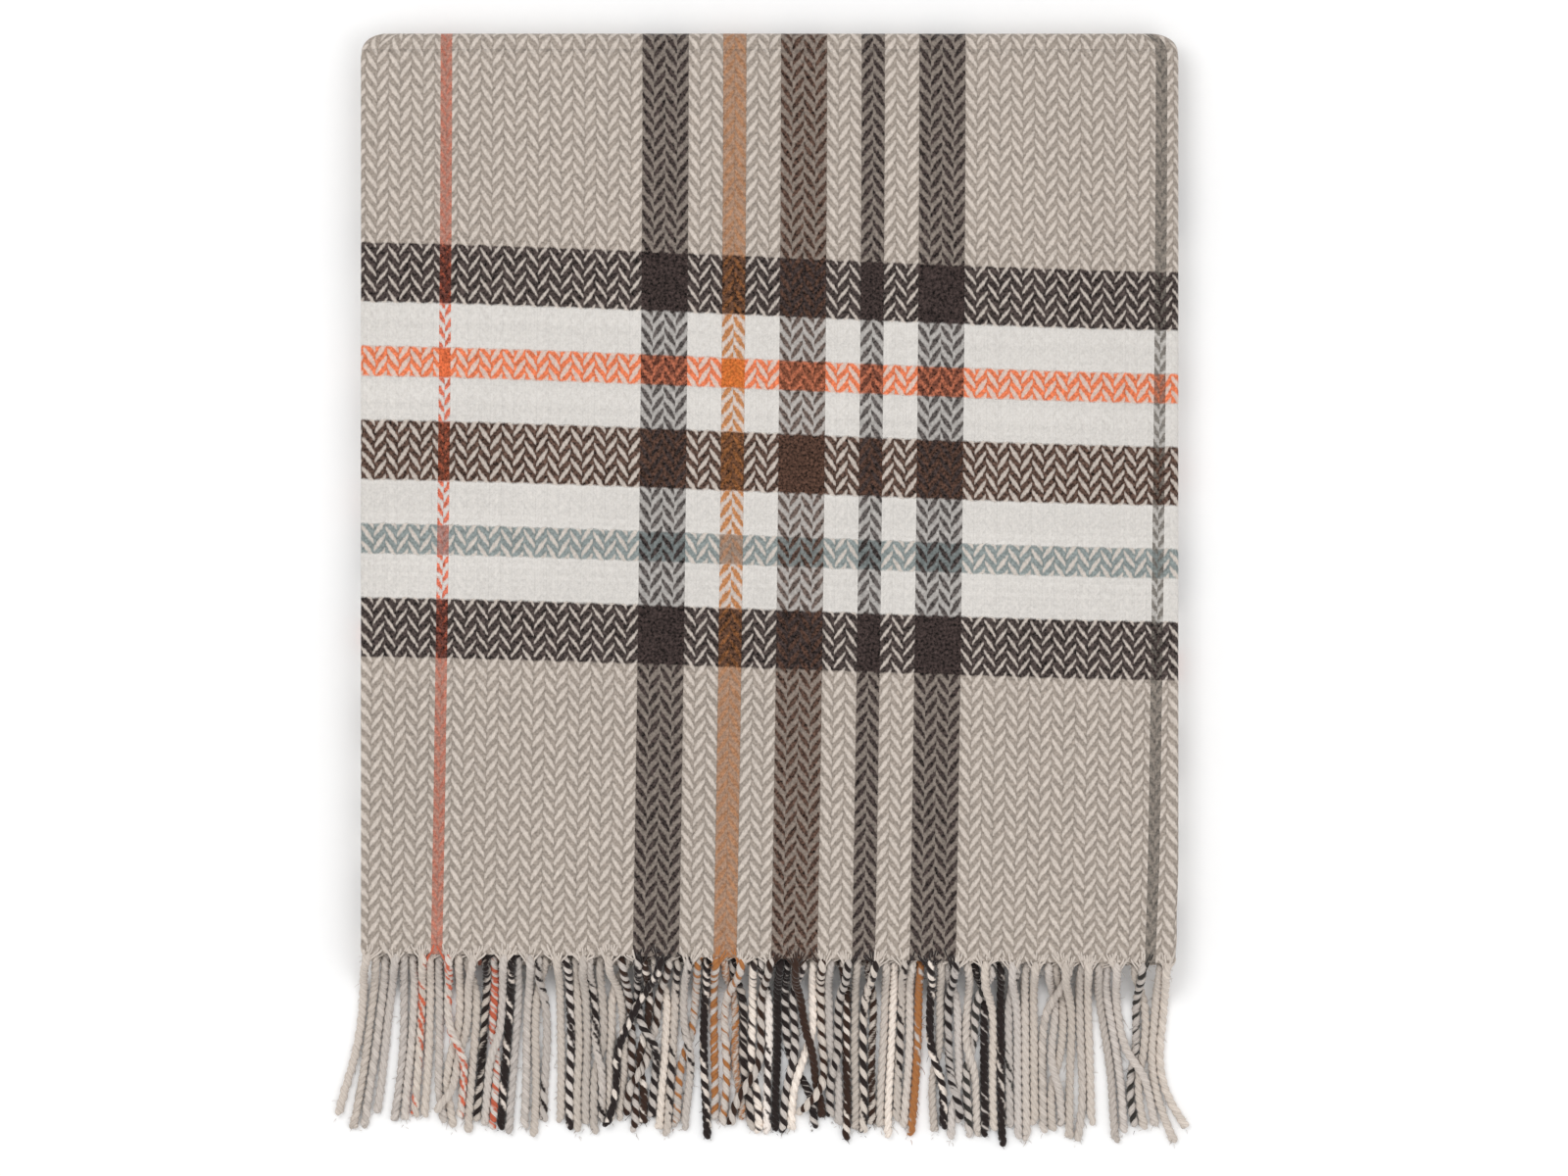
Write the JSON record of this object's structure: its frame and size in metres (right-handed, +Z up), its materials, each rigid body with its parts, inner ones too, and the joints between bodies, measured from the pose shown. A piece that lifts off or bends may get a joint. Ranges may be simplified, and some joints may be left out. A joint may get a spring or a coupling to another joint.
{
  "type": "folded throw blanket",
  "caption": "Plaid herringbone wool-look throw, folded flat in three across and in three along, with a twisted fringe hanging over its front edge; it opens out at its two length creases.",
  "frame": {"origin": "centre of the plan box of throw and front fringe, on the surface it lies on", "axes": "+X across the throw to its right side, +Y from the fringed front hem to the rear crease, +Z up from the surface it lies on"},
  "size_m": [0.46, 0.616, 0.0282],
  "materials": {
    "plaid_wool": "brushed woven twill, matt, plaid of cream, taupe, charcoal, brown, orange and ochre",
    "twisted_fringe": "two-ply twisted yarn, matt, in the colours of the warp it continues"
  },
  "bodies": {
    "bottom_third": {"bottom_centre_panel": "plaid_wool", "bottom_left_flap": "plaid_wool", "bottom_right_flap": "plaid_wool", "front_crease_centre": "plaid_wool", "front_crease_left": "plaid_wool", "front_crease_right": "plaid_wool", "rear_fringe_centre": "twisted_fringe", "rear_fringe_left": "twisted_fringe", "rear_fringe_right": "twisted_fringe"},
    "middle_third": {"middle_centre_panel": "plaid_wool", "middle_left_flap": "plaid_wool", "middle_right_flap": "plaid_wool", "rear_crease_centre": "plaid_wool", "rear_crease_left": "plaid_wool", "rear_crease_right": "plaid_wool"},
    "top_third": {"top_centre_panel": "plaid_wool", "top_left_flap": "plaid_wool", "top_right_flap": "plaid_wool", "front_fringe_centre": "twisted_fringe", "front_fringe_left": "twisted_fringe", "front_fringe_right": "twisted_fringe"}
  },
  "joints": [
    {"name": "front_crease_fold", "type": "hinge", "parent": "bottom_third", "child": "middle_third", "pos_m": [0, -0.2077, 0.0093], "axis": [1, 0, 0], "range_deg": [0, 180], "deforming": ["front_crease_centre", "front_crease_left", "front_crease_right"]},
    {"name": "rear_crease_fold", "type": "hinge", "parent": "middle_third", "child": "top_third", "pos_m": [0, 0.2987, 0.0189], "axis": [-1, 0, 0], "range_deg": [0, 180], "deforming": ["rear_crease_centre", "rear_crease_left", "rear_crease_right"]}
  ],
  "couplings": [
    {"joint": "rear_crease_fold", "follows": "front_crease_fold", "ratio": 1}
  ]
}
